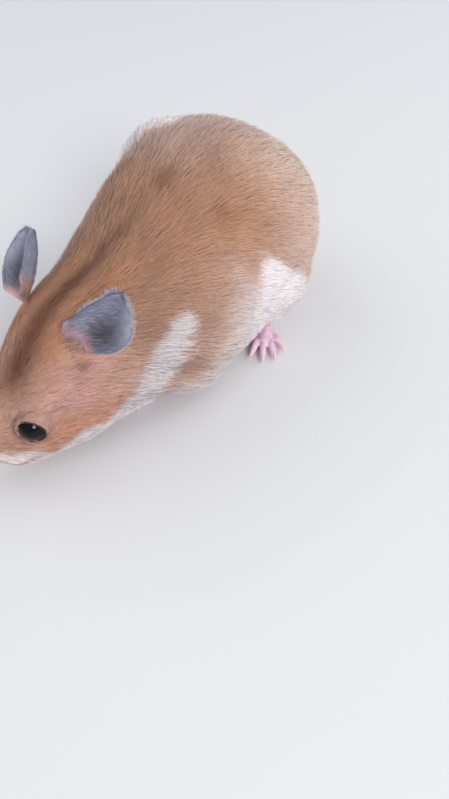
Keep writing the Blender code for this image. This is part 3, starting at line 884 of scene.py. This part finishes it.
def foot(name, spec, side):
    """A foot's skin and its claws, standing where its solid stands."""
    flesh, claws = foot_pieces(spec)
    skin = remeshed(join(name + "_skin", flesh), FOOT_VOXEL)
    nails = join(name + "_claws", [claw(points) for points in claws])
    mesh = skin.data
    points = relaxed(points_of(mesh), edges_of(mesh), 3)
    spots = points_of(nails.data)
    for rows in (points, spots):
        rows[:, 0] *= side
    wrinkles = ripple(points, 0.9 * MM, 41) * 0.03 * MM
    if side < 0:
        mesh.flip_normals()
        nails.data.flip_normals()
    everything = np.vstack((points, spots))
    shift = np.array(middle_of(name)) - (everything.min(0) + everything.max(0)) / 2
    shift[2] = -points[:, 2].min()
    set_points(mesh, points + shift)
    rows = points_of(mesh) + normals_of(mesh) * wrinkles[:, None]
    rows[:, 2] = np.maximum(rows[:, 2], 0.02 * MM)
    set_points(mesh, rows)
    set_points(nails.data, spots + shift)
    return skin, nails


def foot_colours(points, toes):
    """Pink, paler towards the tips of the toes. toes is the length of the longest."""
    reach = toes - points[:, 1] + points[:, 1].min()
    tone = 1 + 0.07 * ripple(points, 1.5 * MM, 81)
    return mix(FOOT_PINK, TOE_PALE, ramp(reach, 0, toes) * 0.6) * tone[:, None]


# ---------- tufts
ROWS = (0, 0.36, 0.7, 1)  # places along a tuft of its rows of points
TAPER = (0.7, 1, 0.72)  # its width at all of them but the tip
MOST_TUFTS = 199_000 // 5  # in a piece of coat, where each tuft has five triangles
PATCH = 0.003  # how wide a tuft is in the UV map kept for its colours
SPREAD_IN_QUICK = 1


class Surface:
    """A skin that hairs are rooted on and lie along."""

    def __init__(self, obj):
        mesh = obj.data
        mesh.calc_loop_triangles()
        self.points = points_of(mesh)
        self.normals = unit_rows(relaxed(normals_of(mesh), edges_of(mesh), 4))
        self.corners = rows_of(mesh.loop_triangles, "vertices", 3, np.int32)
        a, b, c = (self.points[self.corners[:, k]] for k in range(3))
        self.areas = np.linalg.norm(np.cross(b - a, c - a), axis=1) / 2
        self.middles = (a + b + c) / 3
        self.face_normals = unit_rows(self.normals[self.corners].sum(1))
        self.tree = BVHTree.FromPolygons(self.points.tolist(), self.corners.tolist(), all_triangles=True)

    def scatter(self, density, seed):
        """Random roots, density for each triangle in hairs per square metre: places and normals."""
        rng = np.random.default_rng(seed)
        wanted = self.areas * density
        total = int(wanted.sum())
        chosen = rng.choice(len(wanted), total, p=wanted / wanted.sum())
        chosen.sort()
        u, v = rng.random(total), rng.random(total)
        over = u + v > 1
        u[over], v[over] = 1 - u[over], 1 - v[over]
        weights = np.stack((1 - u - v, u, v), 1)[:, :, None]
        corners = self.corners[chosen]
        return (self.points[corners] * weights).sum(1), unit_rows((self.normals[corners] * weights).sum(1))

    def nearest(self, points):
        """The nearest places on the skin, and the normals there."""
        found = [self.tree.find_nearest(Vector(p)) for p in points.tolist()]
        return np.array([f[0] for f in found]), self.face_normals[[f[2] for f in found]]


def clumped(roots, spacing, seed):
    """For each root, the shift to the middle of the lock that it belongs to, and that lock's number."""
    rng = np.random.default_rng(seed)
    count = max(1, int(len(roots) / spacing))
    centres = roots[np.sort(rng.choice(len(roots), count, replace=False))]
    tree = KDTree(count)
    for k, centre in enumerate(centres.tolist()):
        tree.insert(centre, k)
    tree.balance()
    nearest = np.array([tree.find(root)[1] for root in roots.tolist()])
    return centres[nearest] - roots, nearest


class Tufts:
    """Tapering hairs as arrays: where each row of points lies, and how wide and which colour it is.

    Hairs lie along the surface, or run free if it is None. pull draws the hairs of a lock together,
    lock is how many there are in one, and wave is how much each bends."""

    def __init__(self, surface, roots, normals, way, length, depth, width, seed,
                 pull=0.35, lock=14, wave=0.08):
        rng = np.random.default_rng(seed)
        count = len(roots)
        self.roots = roots
        length = length * rng.uniform(0.75, 1.15, count)
        stand = depth * rng.normal(0.95, 0.13, count).clip(0.5, 1.35)
        shift, locks = clumped(roots, lock, seed + 1)
        sway = rng.normal(0, wave, count)
        self.lines = [roots - normals * 0.15 * MM]
        self.normals = [normals]
        place, normal, heading = roots, normals, way
        for k in range(1, len(ROWS)):
            side = np.cross(normal, heading)
            heading = unit_rows(heading + side * (sway * (1 if k < 3 else -0.6))[:, None])
            place = place + heading * (length * (ROWS[k] - ROWS[k - 1]))[:, None]
            if surface:
                place, normal = surface.nearest(place)
            heading = along_skin(heading, normal)
            height = stand * (1 - (1 - ROWS[k]) ** 1.7)
            drawn = shift - normal * (shift * normal).sum(axis=1)[:, None]
            self.lines.append(place + normal * height[:, None] + drawn * pull * ROWS[k] ** 1.4)
            self.normals.append(normal)
        self.width = width * rng.uniform(0.75, 1.2, count)
        self.roll = rng.normal(0, 0.25, count).clip(-0.6, 0.6)
        self.luck = rng.normal(0, 1, count)
        self.lock_luck = rng.normal(0, 1, locks.max() + 1)[locks]
        self.warmth = rng.normal(0, 1, locks.max() + 1)[locks]

    def outline(self, colours):
        """Points, colours and normals of all the hairs, each with two to a row and one at the tip."""
        last = len(ROWS) - 1
        points, shades, normals = [], [], []
        for k in range(last):
            along = unit_rows(self.lines[k + 1] - self.lines[max(k - 1, 0)])
            across = unit_rows(np.cross(self.normals[k], along))
            facing = np.cross(along, across)
            tilt = across * np.cos(self.roll)[:, None] + facing * np.sin(self.roll)[:, None]
            half = tilt * (self.width * TAPER[k] / 2)[:, None]
            soft = unit_rows(self.normals[k] * 0.75 + np.cross(along, tilt) * 0.25)
            for sign in (-1, 1):
                points.append(self.lines[k] + half * sign)
                shades.append(colours[k])
                normals.append(unit_rows(soft + tilt * 0.3 * sign))
        points.append(self.lines[last])
        shades.append(colours[last])
        normals.append(self.normals[last])
        return [np.stack(columns, 1) for columns in (points, shades, normals)]

    def build(self, name, colours, uv):
        """One mesh of all the hairs. colours has a row of colours for each row of points."""
        points, tint, normals = self.outline(colours)
        count, each, _ = points.shape
        last = len(ROWS) - 1
        quads = [(2 * k + 1, 2 * k, 2 * k + 2, 2 * k + 3) for k in range(last - 1)]
        end = (2 * last - 1, 2 * last - 2, 2 * last)
        first = np.arange(count)[:, None] * each
        loops = np.concatenate([first + np.array(face) for face in (*quads, end)], 1).ravel()
        sizes = np.tile([4] * len(quads) + [3], count)
        mesh = bpy.data.meshes.new(name)
        mesh.vertices.add(count * each)
        mesh.vertices.foreach_set("co", points.astype(np.float32).ravel())
        mesh.loops.add(len(loops))
        mesh.loops.foreach_set("vertex_index", loops.astype(np.int32))
        mesh.polygons.add(len(sizes))
        mesh.polygons.foreach_set("loop_start", (np.cumsum(sizes) - sizes).astype(np.int32))
        made = smooth_object(name, mesh)
        mesh.update(calc_edges=True)
        set_colours(mesh, tint.reshape(-1, 3))
        spread = np.array([(x, ROWS[k]) for k in range(last) for x in (0, 1)] + [(0.5, 1)])
        patch = (uv[:, None] + (spread[None] - 0.5) * PATCH).reshape(-1, 2)
        layer = mesh.uv_layers.new(name="OFBake")
        layer.data.foreach_set("uv", patch[loops].astype(np.float32).ravel())
        mesh.normals_split_custom_set_from_vertices(normals.reshape(-1, 3).tolist())
        return made


def in_map(places, low, high):
    """Places of an unwrap that runs from low to high, brought into the map with a small margin."""
    return 0.004 + 0.992 * (places - low) / (high - low)


def unwrapped(points):
    """Places on an unwrap of the skin: rolled off round the body's length, from tail to nose."""
    forward, side, up = body_units(points)
    axis_up = np.interp(forward, (-50, -20, 20, 45, 68), (24, 22, 20, 17, 12))
    made = np.stack((np.arctan2(side, up - axis_up), forward), 1)
    return in_map(made, made.min(0), made.max(0))


def shaded(rows, *shades):
    """Rows of colour made darker or lighter for each row of a tuft's points."""
    return [np.clip(rows * shade, 0, 1) for shade in shades]


# ---------- the body's coat
COAT_DENSITY = 12.5e6 * 1  # hairs per square metre on the trunk
DENSITY_ALONG = (-50, 20, 34, 46, 58, 66), (0.92, 0.95, 1.15, 1.7, 2.5, 2.5)  # forward places, shares of it
TAIL_WAY = np.array((0, 0.884, -0.468))  # the way hairs lie on the tail
COAT_PIECES = (("back", -26), ("flank", -4), ("neck", 20), ("face", 38))  # where each begins, after the rump


def lie_of_coat(points, normals):
    """The way hairs point at each place: along the skin from nose to tail, and down the sides."""
    forward, side, up = body_units(points)
    out = np.clip(side / 26, -1, 1)
    down = -0.42 * np.abs(out) - 1.4 * ramp(forward, -30, -47)
    down -= 1.6 * ramp(up, 10, 3) * ramp(np.abs(side), 2, 6)
    way = unit_rows(np.stack((0.35 * out, np.ones(len(points)), down), 1))
    way = unit_rows(mix(way, TAIL_WAY, on_tail(points)))
    fan = unit_rows(points - (NOSE + np.array((0, -3 * MM, 1 * MM))))
    way = mix(way, fan, ramp(forward, 36, 54))
    for eye in WORDS:
        gap, from_middle, _ = seen_from_eye(eye, points)
        way += from_middle * (0.5 * hump(gap, EYE_RADIUS, 1.2 * MM))[:, None]
    for k in range(3):
        way[:, k] += 0.16 * ripple(points, 9 * MM, 51 + k) + 0.1 * ripple(points, 2.5 * MM, 61 + k)
    return along_skin(way, normals)


def furred_share(points):
    """1 where fur grows and 0 on the bare nose and in the openings of the eyes."""
    share = ramp(np.linalg.norm(np.stack(nose_axes(points)), axis=0), 0.93, 1.03)
    for side in WORDS:
        reach, _, open_to = seen_from_eye(side, points)
        share *= np.where(reach < 1.5 * EYE_RADIUS, ramp(open_to, 1, 1.06), 1)
    return share


def piece_names(forward, side):
    """Names the piece of coat that each root belongs to."""
    names = np.full(len(forward), "coat_rump_left", dtype="U24")
    names[side < 0] = "coat_rump_right"
    for sign, word in WORDS.items():
        for part, start in COAT_PIECES:
            names[(side * sign >= 0) & (forward > start)] = f"coat_{part}_{word}"
    return names


def hair_colours(tufts):
    """Colours for each row of points: shaded near the root, paler at the tip, a little uneven."""
    own = coat_colours(tufts.lines[2])
    own = own * (1 + 0.045 * tufts.luck + 0.025 * tufts.lock_luck)[:, None]
    own[:, 2] *= 1 - 0.035 * tufts.warmth
    own[:, 0] *= 1 + 0.015 * tufts.warmth
    root = own * 0.7 + own.mean(1, keepdims=True) * 0.05
    tip = own * 1.06 + 0.015
    return [np.clip(rows, 0, 1) for rows in (root, own * 0.92, own, tip)]


def body_coat(surface):
    """The coat of the head, body, legs and tail, in pieces."""
    forward, _, up = body_units(surface.middles)
    density = COAT_DENSITY * np.interp(forward, *DENSITY_ALONG)
    density *= 1 - 0.5 * ramp(up, 7, 4) * ramp(forward, 40, 34)
    roots, normals = surface.scatter(density * furred_share(surface.middles), 101)
    way = lie_of_coat(roots, normals)
    depth = coat_depth(roots)
    length = (depth * 2.9 + 1.2 * MM) * (1 - 0.4 * on_tail(roots))
    width = (0.08 * MM + depth * 0.045) * SPREAD_IN_QUICK
    forward, side, _ = body_units(roots)
    names = piece_names(forward, side)
    pieces = []
    for k, name in enumerate(sorted(set(names))):
        chosen = np.flatnonzero(names == name)
        if len(chosen) > MOST_TUFTS:
            keep = np.random.default_rng(200 + k).permutation(len(chosen))[:MOST_TUFTS]
            chosen = chosen[np.sort(keep)]
        own = (rows[chosen] for rows in (roots, normals, way, length, depth, width))
        tufts = Tufts(surface, *own, 300 + 10 * k)
        pieces.append(tufts.build(name, hair_colours(tufts), unwrapped(tufts.roots)))
    return pieces


# ---------- hairs of ears and muzzle
EAR_DENSITY = 20e6  # hairs per square metre
FRINGE_HAIRS = 700
BASE_HAIRS = 2400
EAR_MAP = np.array((-2.6, -0.1)), np.array((2.6, 1.1))  # the corners of an ear's unwrap, across and up
WHISKER_DROOP = np.array((0, 0.16, -0.1))


def ear_tufts(name, tufts, tone, across, up):
    """Builds an ear's hairs. across and up are their places on the ear's unwrap."""
    tone = tone * (1 + 0.1 * tufts.luck)[:, None]
    spots = np.clip(np.stack((across, up), 1), *EAR_MAP)
    return tufts.build("coat_" + name, shaded(tone, 0.8, 0.92, 1, 1.1), in_map(spots, *EAR_MAP))


def ear_down(name, surface, root, seed):
    """Short down on the back of an ear and sparse pale hairs in its hollow."""
    _, outward, axis, _ = ear_axes(name)
    roots, normals = surface.scatter(np.full(len(surface.areas), EAR_DENSITY), seed)
    rng = np.random.default_rng(seed + 5)
    along, share, hollow = ear_places(name, root, roots, normals)
    inner = hollow > 0.5
    often = np.where(inner, 0.12 + 0.3 * ramp(share, 0.1, 0.9) * ramp(along, 0.2, 0.6), 0.8)
    keep = (rng.random(len(roots)) < often) & (along > -0.05)
    roots, normals, inner, along, share = (rows[keep] for rows in (roots, normals, inner, along, share))
    way = axis[None] + outward[None] * np.where(inner, 0.9, 0.7 * share)[:, None]
    way += 0.18 * np.stack([ripple(roots, 2 * MM, seed + 7 + k) for k in range(3)], 1)
    length = np.where(inner, 1.9, 1.5) * MM
    depth = np.where(inner, 0.3, 0.2) * MM
    width = np.where(inner, 0.05, 0.07) * MM * SPREAD_IN_QUICK
    tufts = Tufts(surface, roots, normals, along_skin(way, normals), length, depth, width, seed + 20,
                  pull=0.15, lock=8, wave=0.12)
    tone = painted(
        EAR_BLUE * 1.15,
        (EAR_HAIR, np.where(inner, 0.75, 0.15)),
        (CHEEK_GOLD, ramp(along, 0.35, 0.05) * ~inner),
        # painted shade in the hollow, carried onto its hairs
        (EAR_HOLLOW_SHADE * 1.6, inner * hump(share, 0.35, 0.5) * hump(along, 0.32, 0.28) * 0.8),
    )
    return ear_tufts(name, tufts, tone, share + np.where(inner, 1.1, -1.1), along)


def ear_fringe(name, root, seed):
    """Pale hairs that stand out from the rim."""
    _, outward, axis, face = ear_axes(name)
    rng = np.random.default_rng(seed)
    count = FRINGE_HAIRS
    share = np.where(rng.random(count) < 0.7, 1, -1)
    along = np.where(share > 0, rng.uniform(0.08, 1, count), rng.uniform(0.35, 1, count))
    spots = np.array([ear_point(a, s) for a, s in zip(along, share)])
    roots = root + (spots[:, :1] * outward + spots[:, 1:2] * axis + spots[:, 2:] * face) * UNIT
    way = outward[None] * share[:, None] * 0.8 + axis[None] * (0.5 + 0.6 * along[:, None])
    way = unit_rows(way + rng.normal(0, 0.28, (count, 3)))
    normals = unit_rows(face[None] - way * (way @ face)[:, None])
    length = (0.5 + 0.7 * along) * rng.uniform(0.5, 1.2, count) * MM
    width = np.full(count, 0.04 * MM * SPREAD_IN_QUICK)
    tufts = Tufts(None, roots, normals, way, length, np.zeros(count), width, seed + 1,
                  pull=0.1, lock=8, wave=0.12)
    tone = np.repeat(EAR_BLUE[None] + (EAR_HAIR - EAR_BLUE) * 0.6, count, 0)
    return ear_tufts(name, tufts, tone, share * 2.4, along)


def ear_base(name, head, root, seed):
    """Longer hairs that rise from the head in front of an ear and cross its base."""
    side = EAR_WAYS[name][0]
    rng = np.random.default_rng(seed)
    count = BASE_HAIRS
    ahead, sideways = rng.uniform(0, 6 if side > 0 else 3.5, count), rng.uniform(-4.6, 2.2, count)
    roots, normals = head.nearest(root + (ahead[:, None] * AHEAD + side * sideways[:, None] * LEFT) * UNIT)
    sweep = LEFT * side * 0.55 - AHEAD * 0.65 + UP * 0.3
    way = unit_rows(sweep[None] + rng.normal(0, 0.05, (count, 3)))
    length = rng.uniform(2.2, 4.6, count) * MM * (1 if side > 0 else 0.6)
    width = np.full(count, 0.07 * MM * SPREAD_IN_QUICK)
    tufts = Tufts(None, roots, along_skin(normals, way), way, length, np.zeros(count), width, seed + 1,
                  pull=0.3, lock=12, wave=0.03)
    tone = painted(
        coat_colours(roots),
        # painted shade: some locks on the left side made brown, as the shadows between the hairs
        (BROWN, ramp(tufts.lock_luck, 0.6, 1.4) * (side > 0) * 0.7),
        (CREAM * 0.85, ramp(tufts.lock_luck, 0.2, -0.6) * 0.4),
    )
    tone = tone * (1 + 0.06 * tufts.luck)[:, None]
    return tufts.build("coat_base_" + name, shaded(tone, 0.7, 0.92, 1, 1.06), unwrapped(tufts.roots))


def ear_coat(name, surface, root, head, seed):
    """An ear's hairs as one piece, with their own normals, colours and maps kept."""
    pieces = [ear_down(name, surface, root, seed), ear_base(name, head, root, seed + 80)]
    pieces.insert(1, ear_fringe(name, root, seed + 60))
    for piece in pieces:
        piece.select_set(True)
    with bpy.context.temp_override(active_object=pieces[0], selected_editable_objects=pieces):
        bpy.ops.object.join()
    pieces[0].name = "coat_" + name
    return pieces[0]


def whiskers():
    """Fine whiskers from both pads of the muzzle."""
    rng = np.random.default_rng(77)
    points, faces = [], []
    for side, row, column in itertools.product(WORDS, range(4), range(3)):
        start = NOSE - AHEAD * (3.2 + 1.5 * column + rng.uniform(-0.2, 0.2)) * MM
        start = start + LEFT * side * (2.9 + 0.75 * column) * MM + UP * ((0.6 - 0.95 * row) * MM)
        way = LEFT * side * 0.86 - AHEAD * (0.25 + 0.22 * column) + UP * (0.22 - 0.2 * row)
        way /= np.linalg.norm(way)
        length = (8 + 3.2 * column + rng.uniform(-1, 1)) * MM
        line = [start + way * length * t + WHISKER_DROOP * length * t * t for t in np.linspace(-0.08, 1, 9)]
        spots, sides = tube(line, np.linspace(0.055, 0.012, 9) * MM, 5)
        faces += [tuple(v + len(points) for v in face) for face in sides]
        points += spots.tolist()
    return from_rows("whiskers", points, faces)


# ---------- putting it together
FLOOR_COLOUR = (0.74, 0.745, 0.76, 1)
LIGHTS = (  # name, place, size, power and colour
    ("key", (0.56, -0.27, 0.44), 0.3, 3, (1, 0.975, 0.95)),
    ("fill", (-0.5, -0.1, 0.45), 0.7, 1.2, (0.92, 0.95, 1)),
    ("back", (0.25, 0.5, 0.5), 0.6, 1.8, (0.97, 0.98, 1)),
)
LIT_PLACE = Vector((0, 0, 0.02))
CAMERA_PLACE = (86.1, -77.26, 120.94)  # body units from the floor below the middle of the animal
CAMERA_TURN = (37.29, 0, 38)  # degrees
CAMERA_LENS = 25.5  # millimetres on a sensor 36 mm long


def build_skin():
    """All the skin as one piece and the claws as another, and the surfaces that hair grows on."""
    body = furred_skin()
    surface = Surface(body)
    bare = ramp(surface.points[:, 2], 5 * MM, 3.5 * MM)
    tint = mix(coat_colours(surface.points) * 0.7, SKIN_PINK * 0.8, bare * 0.6)
    parts, claws, ears = [(body, tint)], [], {}
    for name in EARS:
        ear, root = ear_skin(name)
        ears[name] = Surface(ear), root
        parts.append((ear, ear_colours(name, root, points_of(ear.data), normals_of(ear.data))))
    for kind, spec in (("hindfoot_", HIND_FOOT), ("forefoot_", FORE_FOOT)):
        for side, word in WORDS.items():
            flesh, nails = foot(kind + word, spec, side)
            claws.append(nails)
            parts.append((flesh, foot_colours(points_of(flesh.data), max(spec["toes"]) * UNIT)))
    parts.append(nose_pad())
    for side in WORDS:
        rim = lid_rim(side)
        # the rim's dark colour is partly painted shade of the lids
        parts.append((rim, np.repeat(LID_EDGE_AND_SHADE[None], len(rim.data.vertices), 0)))
    skin = join("skin", [part for part, _ in parts])
    set_colours(skin.data, np.clip(np.vstack([tint for _, tint in parts]), 0, 1))
    return skin, join("claws", claws), surface, ears


def finish_piece(obj, material, slot, *nodes):
    """Dresses a piece and sets it riding on the body."""
    obj.data.materials.clear()
    obj.data.materials.append(material)
    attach(obj, "root")
    if nodes:
        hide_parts(*nodes)


def build():
    skin, claws, surface, ears = build_skin()
    finish_piece(skin, skin_material(), "bare_skin", *FURRED, "nose", *EARS, *FEET)
    finish_piece(claws, horn_material("claw", CLAW_HORN, 1200, 0.25, 0.4), "bare_skin")
    gloss = eye_material()
    for side, word in WORDS.items():
        finish_piece(eyeball(side), gloss, "eye", "eye_" + word)
    fur = fur_material("fur", 0.5, 0.72)
    for piece in body_coat(surface):
        finish_piece(piece, fur, "fur")
    ear_fur = fur_material("ear_fur", 0.45, 0.65)
    for k, (name, (ear, root)) in enumerate(ears.items()):
        finish_piece(ear_coat(name, ear, root, surface, 500 + 100 * k), ear_fur, "fur")
    finish_piece(whiskers(), horn_material("whisker", WHISKER_PALE, 900, 0.3, 0.5), "fur")


def soft_light(name, place, size, power, colour):
    """A round area light that faces the animal."""
    light = bpy.data.lights.new(name, "AREA")
    light.shape = "DISK"
    light.size = size
    light.energy = power
    light.color = colour
    obj = new_object(name, light)
    obj.location = place
    obj.rotation_euler = (LIT_PLACE - Vector(place)).to_track_quat("-Z", "Y").to_euler()


def stage():
    """A plain pale floor, soft light all round and three soft lamps."""
    shape = bmesh.new()
    bmesh.ops.create_grid(shape, x_segments=8, y_segments=8, size=1.6)
    floor = from_bmesh("floor", shape)
    material = bpy.data.materials.new("floor")
    material.use_nodes = True
    shader = material.node_tree.nodes["Principled BSDF"]
    shader.inputs["Roughness"].default_value = 0.85
    shader.inputs["Base Color"].default_value = FLOOR_COLOUR
    floor.data.materials.append(material)

    world = bpy.data.worlds.new("studio")
    world.use_nodes = True
    sky = world.node_tree.nodes["Background"]
    sky.inputs["Color"].default_value = (0.93, 0.96, 1, 1)
    sky.inputs["Strength"].default_value = 0.5
    bpy.context.scene.world = world
    for light in LIGHTS:
        soft_light(*light)
    bpy.context.scene.view_settings.view_transform = "Standard"


def camera():
    data = bpy.data.cameras.new("camera")
    data.lens = CAMERA_LENS
    data.sensor_width = 36
    data.clip_start = 0.005
    obj = new_object("camera", data)
    obj.location = Vector(CAMERA_PLACE) * UNIT
    obj.rotation_euler = [math.radians(angle) for angle in CAMERA_TURN]
    bpy.context.scene.camera = obj


build()
stage()
camera()
